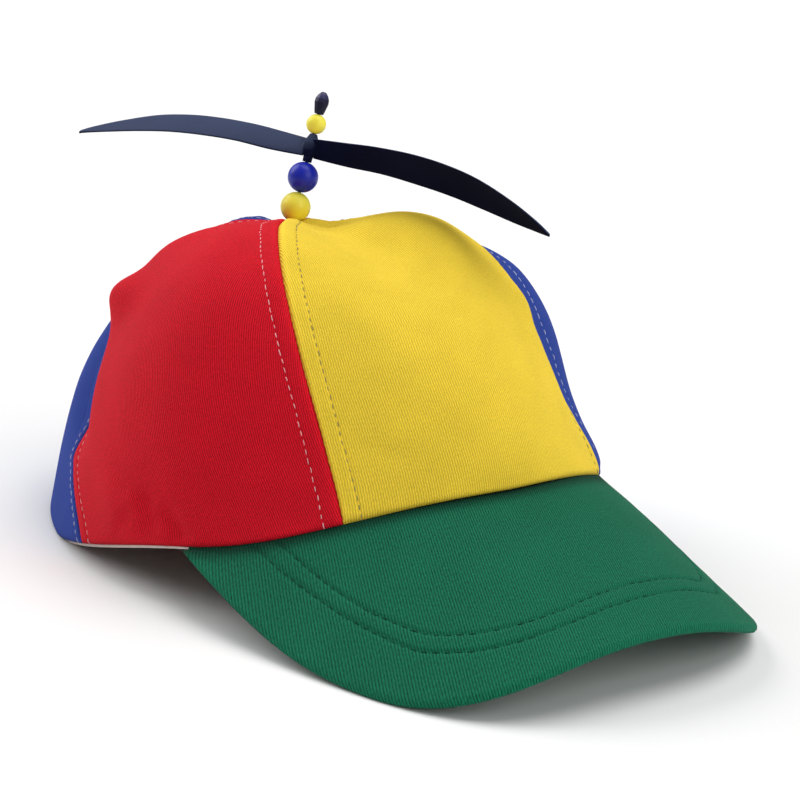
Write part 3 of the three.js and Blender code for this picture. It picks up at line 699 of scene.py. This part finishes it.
# painted shade along the root, where the hem's shadow falls; a worn band lighter along the edge
root_shade = PEAK_ROOT_SHADE * bell(share * length[:, None], PEAK_ROOT_SHADE_WIDTH)
peak_rub_and_shade = bell(edge_distance, PEAK_RUB_WIDTH) - root_shade
peak_piece = new_shell("peak_cloth", *(table[::-1] for table in (peak_top, peak_under, plan, peak_rub_and_shade)))
peak_piece.data.materials.append(twill_cloth("green_twill", GREEN, 70, contrast=0.8, speckle=1.5))
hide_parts("brim")
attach(peak_piece, "cap")

# Peak stitching: two rows of dark green thread through board and both cloths, from root to root.
# The stitches are longer than those of the crown and lie deep in their furrows.
PEAK_STITCH_PITCH, PEAK_STITCH_LENGTH, PEAK_STITCH_LIFT = 3.3, 2.8, 0.2
PEAK_THREAD_WIDTH = 0.32
green_thread = thread("green_thread", (0.006, 0.070, 0.040))
for row_name, row_at in zip(("peak_stitching_outer", "peak_stitching_inner"), row_places):
    line, line_normal = [], []
    for i in range(PEAK_COLUMNS):
        gap = edge_distance[i, 1:] - row_at[i, 1:]
        if gap.max() <= 0:
            continue
        k = len(gap) - 1 - int(np.argmax(gap[::-1] > 0))
        t = gap[k] / (gap[k] - gap[k + 1])
        line.append(peak_top[i, 1 + k] * (1 - t) + peak_top[i, 2 + k] * t)
        line_normal.append(normal[i, 1 + k])
    row_piece = stitch_rows(row_name, [(np.array(line), np.array(line_normal))], PEAK_STITCH_PITCH,
                            PEAK_STITCH_LENGTH, PEAK_THREAD_WIDTH, PEAK_STITCH_LIFT)
    row_piece.data.materials.append(green_thread)
    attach(row_piece, "cap")

# Sweatband: a pale plain-woven tape folded double, sewn round the inside of the rim over the peak's root.
# Its lower fold shows as a thin line under the hem behind the peak.
BAND_DEPTH, BAND_THICK, BAND_TOP = 2.4, 1.2, 0.2
BAND_SHOWS, BAND_COVERS_ROOT, BAND_EASES_OVER, BAND_OFF_FLOOR = 1.1, 4.5, 14.0, 0.4
BAND_COLUMNS, BAND_MIDDLE_ROWS = 240, 16
BAND_LOW_ROWS, BAND_TOP_ROWS = [0.0, 0.004, 0.01, 0.02], [BAND_TOP - 0.002, BAND_TOP]
# how much the folds swell, row by row
BAND_SWELL = np.array([0.5, 0.2, 0.06, 0.0] + [0.0] * BAND_MIDDLE_ROWS + [0.15, 0.45])
BAND_WAVE, BAND_WAVE_SIZE = 0.12, 7.0
BAND_PER_DEGREE, BAND_MEASURED_AT = 1.55, 60
BAND_PALE, BAND_YARN = (0.80, 0.68, 0.62, 1), 0.7
band_angle = np.arange(BAND_COLUMNS) * 360 / BAND_COLUMNS
band_middle = np.linspace(0.03, BAND_TOP - 0.006, BAND_MIDDLE_ROWS)
band_up = np.concatenate([BAND_LOW_ROWS, band_middle, BAND_TOP_ROWS])
band_points = crown(band_angle[:, None], band_up)
band_normal = crown_normal(band_angle[:, None], band_up)
band_normal[..., 2] *= smooth(band_up, 0, 0.06)
band_normal = unit(band_normal)
behind_peak = smooth(np.abs(half_round(band_angle)), PEAK_END - BAND_EASES_OVER, PEAK_END)
drop = BAND_COVERS_ROOT - (BAND_COVERS_ROOT - BAND_SHOWS) * behind_peak
lowering = (1 - smooth(band_up, 0, 0.03)) * drop[:, None]
band_wave = BAND_WAVE * ripple(band_points, BAND_WAVE_SIZE)
layers = []
for depth, sign in ((BAND_DEPTH, -1), (BAND_DEPTH + BAND_THICK, 1)):
    inward = depth + sign * BAND_SWELL * BAND_THICK / 2 + band_wave / 2
    layer = band_points - band_normal * inward[..., None]
    layer[..., 2] = np.maximum(layer[..., 2] - lowering, BAND_OFF_FLOOR)
    layers.append(layer)
band_rise = reach_along(band_points[BAND_MEASURED_AT])
band_reach = band_angle * BAND_PER_DEGREE
band_flat = np.stack(np.broadcast_arrays(band_reach[:, None], band_rise), -1)
band_piece = new_shell("sweatband_tape", *layers, band_flat, wraps=True)
tape, tape_tree, tape_in = new_material("band_tape")
tape_place = node(tape_tree, "ShaderNodeUVMap", uv_map="cloth")["UV"]
tape_xy = node(tape_tree, "ShaderNodeSeparateXYZ", {0: tape_place})[:2]
warp, weft = (sums(tape_tree, "SINE", scaled(tape_tree, x, 2 * math.pi / BAND_YARN)) for x in tape_xy)
check = scaled(tape_tree, scaled(tape_tree, warp, weft), 0.5, 0.5)
tape_shade = scaled(tape_tree, mottle(tape_tree, tape_place, 0.5), 0.3, 0.75)
tape_shade = scaled(tape_tree, check, 0.16, tape_shade)
feed(tape_tree, tape_in, {
    "Base Color": shaded(tape_tree, BAND_PALE, tape_shade), "Normal": raised(tape_tree, check, 0.5, 0.0002),
    "Roughness": 0.9})
band_piece.data.materials.append(tape)
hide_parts("sweatband")
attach(band_piece, "cap")

# Pin: plain drawn steel wire through the beads and the propeller, hidden but for slivers between them.
# It stands at the button point and leans as the soft crown lets it.
steel, steel_tree, steel_in = new_material("steel_wire")
steel_place = node(steel_tree, "ShaderNodeTexCoord")["Object"]
drawn = mottle(steel_tree, steel_place, 2500.0, 3.0)
feed(steel_tree, steel_in, {
    "Roughness": scaled(steel_tree, drawn, 0.25, 0.22), "Base Color": (0.06, 0.06, 0.07, 1), "Metallic": 1.0})
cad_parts["post"].data.materials.clear()
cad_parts["post"].data.materials.append(steel)

# Beads: moulded round, dipped in gloss paint and drilled for the pin; two large ones below the propeller.
# A small one sits above it. The paint pools a little and keeps a soft sheen with faint dust in it.
PIN_LEAN_LEFT, PIN_LEAN_BACK, PIN_BORE = 18.7, 5.7, 0.85
BEAD_RINGS, BEAD_SIDES, BEAD_WOBBLE, BEAD_WOBBLE_SIZE = 40, 64, 0.004, 3.0
BEAD_HOLE_ANGLE = 0.06
# step out from the bore and up into the bead at each ring of the hole's lip
BEAD_LIP = [(0.06, 0.12), (0.0, 0.4)]
pin_axis = unit(np.array([math.tan(math.radians(PIN_LEAN_LEFT)), math.tan(math.radians(PIN_LEAN_BACK)), 1.0]))
swing = np.cross([0, 1, 0], pin_axis)
cross = np.array([[0, -swing[2], swing[1]], [swing[2], 0, -swing[0]], [-swing[1], swing[0], 0]])
pin_turn = np.eye(3) + cross + cross @ cross / (1 + pin_axis[1])


def on_pin(points, height):
    """Points set out with y up along the pin, put in place at a height above the button point."""
    return (np.asarray(points) + np.array([0, height, 0])) @ pin_turn.T + BUTTON


def turned(profile, sides):
    """Points and faces of a closed profile of (radius, height) rows turned round the pin."""
    profile = np.array(profile, float)
    count = len(profile)
    turn = np.arange(sides) * 2 * math.pi / sides
    points = np.stack([
        profile[None, :, 0] * np.cos(turn)[:, None],
        np.broadcast_to(profile[:, 1], (sides, count)),
        -profile[None, :, 0] * np.sin(turn)[:, None]], -1).reshape(-1, 3)
    return points, tube_faces(sides, count, closes=True)


def bead_piece(name, at, radius):
    start = math.asin(PIN_BORE / radius)
    sweep = np.linspace(start + BEAD_HOLE_ANGLE, math.pi - start - BEAD_HOLE_ANGLE, BEAD_RINGS)
    outside = [(radius * math.sin(a), -radius * math.cos(a)) for a in sweep]
    low = -radius * math.cos(start)
    lip = [(PIN_BORE + out, low + up) for out, up in BEAD_LIP]
    points, faces = turned(outside + [(r, -h) for r, h in lip] + lip[::-1], BEAD_SIDES)
    points = points * (1 + BEAD_WOBBLE * ripple(points, BEAD_WOBBLE_SIZE)[:, None])
    return new_piece(name, on_pin(points, at), faces)


# Dipped paint: streaks where it pooled, and fine specks that roughen it.
STREAK_SCALE, SPECK_SCALE = 420.0, 1900.0
dip, dip_in, dip_out = shader_group(
    "dipped_paint", {"Place": VECTOR, "Paint": COLOUR, "Pooled": COLOUR},
    {"Colour": COLOUR, "Roughness": VALUE, "Height": VALUE})
streaks = mottle(dip, dip_in["Place"], STREAK_SCALE, 4.0)
specks = mottle(dip, dip_in["Place"], SPECK_SCALE)
pooling = scaled(dip, sums(dip, "SUBTRACT", streaks, 0.35), 1.2)
feed(dip, dip_out, {
    "Colour": blended(dip, pooling, dip_in["Paint"], dip_in["Pooled"]),
    "Roughness": scaled(dip, specks, 0.22, 0.28), "Height": specks})


def bead_paint(name, colour, pooled):
    made, tree, shader = new_material(name)
    place = node(tree, "ShaderNodeTexCoord")["Object"]
    paints = {"Place": place, "Paint": (*colour, 1.0), "Pooled": (*pooled, 1.0)}
    dipped = node(tree, "ShaderNodeGroup", paints, node_tree=dip)
    relief = raised(tree, dipped["Height"], 0.12, 0.0002)
    feed(tree, shader, {
        "Base Color": dipped["Colour"], "Roughness": dipped["Roughness"], "Normal": relief,
        "Coat Weight": 0.1, "Coat Roughness": 0.25, "Specular IOR Level": 0.3})
    return made


yellow_paint = bead_paint("yellow_paint", (0.98, 0.88, 0.08), (0.94, 0.78, 0.06))
blue_paint = bead_paint("blue_paint", (0.007, 0.018, 0.44), (0.005, 0.013, 0.32))
# node, height on the pin, radius, paint, slot
BEADS = [
    ("bead_base", 5.0, 4.75, yellow_paint, "bead_yellow"),
    ("bead_blue", 14.62, 4.82, blue_paint, "bead_blue"),
    ("bead_small", 31.7, 3.15, yellow_paint, "bead_yellow"),
]
for bead_node, bead_at, bead_radius, paint, bead_slot in BEADS:
    one_bead = bead_piece(bead_node + "_paint", bead_at, bead_radius)
    one_bead.data.materials.append(paint)
    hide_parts(bead_node)
    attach(one_bead, "cap")

# Propeller: one black plastic moulding, a short hub with two thin twisted blades that droop to their tips.
# It turns freely on the pin between the blue bead and the small one.
HUB_AT, HUB_SIDES, BLADE_TURN = 24.4, 48, -46.3
HUB_PROFILE = [
    (1.35, -4.85), (1.45, -4.7), (1.5, -3.6), (1.62, -2.9), (1.95, -2.3), (2.2, -1.8), (2.33, -0.6),
    (2.35, 0.9), (2.2, 1.7), (1.9, 2.5), (1.55, 3.2), (1.25, 3.9), (1.15, 4.1)]
HUB_HOLE_CHAMFER = 0.1
# distance out, chord, angle of the chord to the disc, height of the chord's middle
BLADE_SECTIONS = np.array([
    (1.2, 6.6, 61, -0.4), (12.7, 8.5, 53, -0.2), (24.5, 10.3, 45, 0.2), (36.8, 11.9, 43, -0.2),
    (48.5, 12.7, 41, -1.3), (60.3, 12.4, 40, -3.4), (72, 9.6, 38, -6.5), (80.9, 4.8, 37, -9.3),
    (85.3, 0.9, 37, -11)])
BLADE_THICK, BLADE_EDGE, BLADE_CAMBER = 1.1, 0.5, 0.06
BLADE_STATIONS, BLADE_CHORD_POINTS = 72, 21
FRONT_BLADE_LONGER, REAR_BLADE_FLATTER = 1.012, 5.0
SMALLEST_EDGE = 0.002


def blade(longer, flatter):
    """One blade along +x: a cambered plate with rounded edges, its outer part bent flatter by an angle."""
    rows = BLADE_SECTIONS * np.array([longer, 1, 1, 1])
    place = np.linspace(0, 1, BLADE_STATIONS) * (len(rows) - 1)
    out, chord, pitch, height = between_rows(rows, place).T
    pitch = np.radians(pitch - flatter * smooth(out, 12, 40))
    c = np.sin(np.linspace(-math.pi / 2, math.pi / 2, BLADE_CHORD_POINTS)) * 0.5
    full = 1 - 4 * c * c
    thick = np.minimum(BLADE_EDGE + (BLADE_THICK - BLADE_EDGE) * full[None], chord[:, None] * 0.8) / 2
    thick = thick * np.minimum(1, np.sqrt(np.maximum(full, 0))[None] * 4)
    bend = chord[:, None] * BLADE_CAMBER * full[None]
    loops = []
    for offset, pick in ((bend + thick, slice(None)), (bend - thick, slice(-2, 0, -1))):
        along = (c[None] * chord[:, None])[:, pick]
        lift = offset[:, pick]
        loops.append(np.stack([
            np.broadcast_to(out[:, None], along.shape),
            height[:, None] + along * np.sin(pitch)[:, None] + lift * np.cos(pitch)[:, None],
            along * np.cos(pitch)[:, None] - lift * np.sin(pitch)[:, None]], -1))
    loop = np.concatenate(loops, axis=1)
    return loop.reshape(-1, 3), tube_faces(*loop.shape[:2])


def reshaped(piece, *steps):
    """Works on a piece's mesh with each step in turn."""
    shape = bmesh.new()
    shape.from_mesh(piece.data)
    for step in steps:
        step(shape)
    shape.to_mesh(piece.data)
    shape.free()


def outward(shape):
    bmesh.ops.recalc_face_normals(shape, faces=shape.faces)


def without_slivers(shape):
    bmesh.ops.dissolve_degenerate(shape, edges=shape.edges, dist=SMALLEST_EDGE * MM)


def moulding(name, points, faces, degrees):
    """A piece of the propeller, turned about the pin by an angle."""
    a = math.radians(degrees)
    turn = np.array([[math.cos(a), 0, math.sin(a)], [0, 1, 0], [-math.sin(a), 0, math.cos(a)]])
    piece = new_piece(name, on_pin(points @ turn.T, HUB_AT), faces)
    reshaped(piece, outward)
    return piece


low, high = HUB_PROFILE[0][1] + HUB_HOLE_CHAMFER, HUB_PROFILE[-1][1] - HUB_HOLE_CHAMFER
hub_points, hub_faces = turned([(PIN_BORE, low)] + HUB_PROFILE + [(PIN_BORE, high)], HUB_SIDES)
propeller_piece = moulding("propeller_moulding", hub_points, hub_faces, BLADE_TURN)
blade_pieces = [
    moulding("blade", *blade(FRONT_BLADE_LONGER, 0.0), BLADE_TURN),
    moulding("blade", *blade(1.0, REAR_BLADE_FLATTER), BLADE_TURN + 180)]
for one_blade in blade_pieces:
    joined = propeller_piece.modifiers.new("join", "BOOLEAN")
    joined.operation, joined.solver, joined.object = "UNION", "EXACT", one_blade
joined_piece = propeller_piece.evaluated_get(bpy.context.evaluated_depsgraph_get())
joined_mesh = bpy.data.meshes.new_from_object(joined_piece)
propeller_piece.modifiers.clear()
propeller_piece.data = joined_mesh
reshaped(propeller_piece, without_slivers)
for one_blade in blade_pieces:
    bpy.data.objects.remove(one_blade)

# Moulded plastic: faint flow marks, fine scuffs, and painted light: a paler colour on the faces that look up.
moulded, m_in, m_out = shader_group(
    "moulded_plastic",
    {"Place": VECTOR, "Facing": VECTOR, "Plastic": COLOUR, "Painted Light": COLOUR, "Scale": VALUE,
     "Roughness": VALUE},
    {"Colour": COLOUR, "Roughness": VALUE, "Height": VALUE})
flow = mottle(moulded, m_in["Place"], m_in["Scale"], 4.0)
scuffs = mottle(moulded, m_in["Place"], scaled(moulded, m_in["Scale"], 9.0), 3.0, 2.0)
tone = shaded(moulded, m_in["Plastic"], scaled(moulded, flow, 0.6, 0.7))
looks_up = node(moulded, "ShaderNodeSeparateXYZ", {0: m_in["Facing"]})[2]
lit_share = node(
    moulded, "ShaderNodeMapRange", {"Value": looks_up, "From Min": 0.1, "From Max": 0.7})["Result"]
lit_share = scaled(moulded, lit_share, scaled(moulded, flow, 0.4, 0.8))
scuffed = scaled(moulded, sums(moulded, "SUBTRACT", scuffs, 0.5), 0.2, m_in["Roughness"])
feed(moulded, m_out, {
    "Colour": blended(moulded, lit_share, tone, m_in["Painted Light"]), "Roughness": scuffed, "Height": scuffs})


def black_plastic(name, colour, painted_light_colour, roughness, scale, gloss):
    made, tree, shader = new_material(name)
    coordinates = node(tree, "ShaderNodeTexCoord")
    worn = node(tree, "ShaderNodeGroup", {
        "Place": coordinates["Object"], "Facing": coordinates["Normal"], "Plastic": (*colour, 1.0),
        "Painted Light": (*painted_light_colour, 1.0), "Scale": scale, "Roughness": roughness}, node_tree=moulded)
    relief = raised(tree, worn["Height"], 0.06, 0.0003)
    feed(tree, shader, {
        "Base Color": worn["Colour"], "Roughness": worn["Roughness"], "Normal": relief,
        "Specular IOR Level": gloss})
    return made


propeller_piece.data.materials.clear()
# plastic colour, then the paler colour of painted light on the faces that look up
propeller_piece.data.materials.append(black_plastic(
    "propeller_plastic", (0.005, 0.007, 0.028), (0.052, 0.066, 0.125),
    roughness=0.45, scale=60.0, gloss=0.008))
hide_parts("propeller")
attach(propeller_piece, "propeller")

# End bead: a dark moulded bead with eight flat sides that run to a blunt point, pressed on the pin's end.
# The edges between the flats are slightly rounded from the mould.
TIP_AT, TIP_SIDES, TIP_HOLE_DEPTH = 34.95, 8, 3.3
TIP_PROFILE = [(1.5, 0.0), (1.8, 1.0), (2.4, 3.6), (2.3, 4.85), (1.65, 6.1), (0.7, 7.05)]
TIP_ROUNDING, TIP_ROUNDING_STEPS = 0.12, 3


def rounded_edges(shape):
    bmesh.ops.bevel(shape, geom=list(shape.edges), offset=TIP_ROUNDING * MM, segments=TIP_ROUNDING_STEPS,
                    profile=0.5, affect="EDGES")


tip_profile = [(PIN_BORE, TIP_HOLE_DEPTH), (PIN_BORE, 0.0)] + TIP_PROFILE
count = len(tip_profile)
tip_points, tip_faces = turned(tip_profile, TIP_SIDES)
tip_faces = [face for i, face in enumerate(tip_faces) if i % count < count - 1]
tip_faces.append(tuple(i * count + count - 1 for i in range(TIP_SIDES)))
tip_faces.append(tuple(i * count for i in reversed(range(TIP_SIDES))))
tip_piece = new_piece("tip_moulding", on_pin(tip_points, TIP_AT), tip_faces)
reshaped(tip_piece, outward, rounded_edges)
# plastic colour, then the paler colour of painted light on the faces that look up
tip_piece.data.materials.append(black_plastic(
    "tip_plastic", (0.010, 0.010, 0.032), (0.05, 0.048, 0.12), roughness=0.3, scale=300.0, gloss=0.16))
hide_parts("tip")
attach(tip_piece, "cap")

# Studio: a plain pale floor under three broad lights, with even white light all round.
# The floor isn't part of the cap.
FLOOR_HALF = 6.0
FLOOR_DARK, FLOOR_LIGHT = (0.85, 0.85, 0.85, 1), (0.88, 0.88, 0.88, 1)
ROOM_STRENGTH = 0.22
floor_mesh = bpy.data.meshes.new("floor")
floor_corners = [(x * FLOOR_HALF, y * FLOOR_HALF, 0) for x, y in ((-1, -1), (1, -1), (1, 1), (-1, 1))]
floor_mesh.from_pydata(floor_corners, [], [(0, 1, 2, 3)])
floor = placed("floor", floor_mesh)
paper, paper_tree, paper_in = new_material("floor_paper")
paper_place = node(paper_tree, "ShaderNodeTexCoord")["Object"]
paper_tone = blended(paper_tree, mottle(paper_tree, paper_place, 900.0), FLOOR_DARK, FLOOR_LIGHT)
feed(paper_tree, paper_in, {"Base Color": paper_tone, "Roughness": 0.95, "Specular IOR Level": 0.0})
floor_mesh.materials.append(paper)

# name, direction that the light comes from, spread in degrees, strength
LIGHTS = [
    ("overhead", (0.4, 0.0, 1.0), 50, 1.75),
    ("behind", (-0.32, 0.8, 0.55), 50, 2.0),
    ("in_front", (0.25, -0.85, 0.5), 50, 1.05),
]
for light_name, light_from, spread, strength in LIGHTS:
    lamp = bpy.data.lights.new(light_name, "SUN")
    lamp.angle = math.radians(spread)
    lamp.energy = strength
    hung = placed(light_name, lamp)
    hung.rotation_euler = Vector(light_from).to_track_quat("Z", "Y").to_euler()
room = bpy.data.worlds.new("room")
room.use_nodes = True
background = room.node_tree.nodes["Background"].inputs
background["Color"].default_value = (1, 1, 1, 1)
background["Strength"].default_value = ROOM_STRENGTH
scene.world = room
scene.view_settings.view_transform = "Standard"
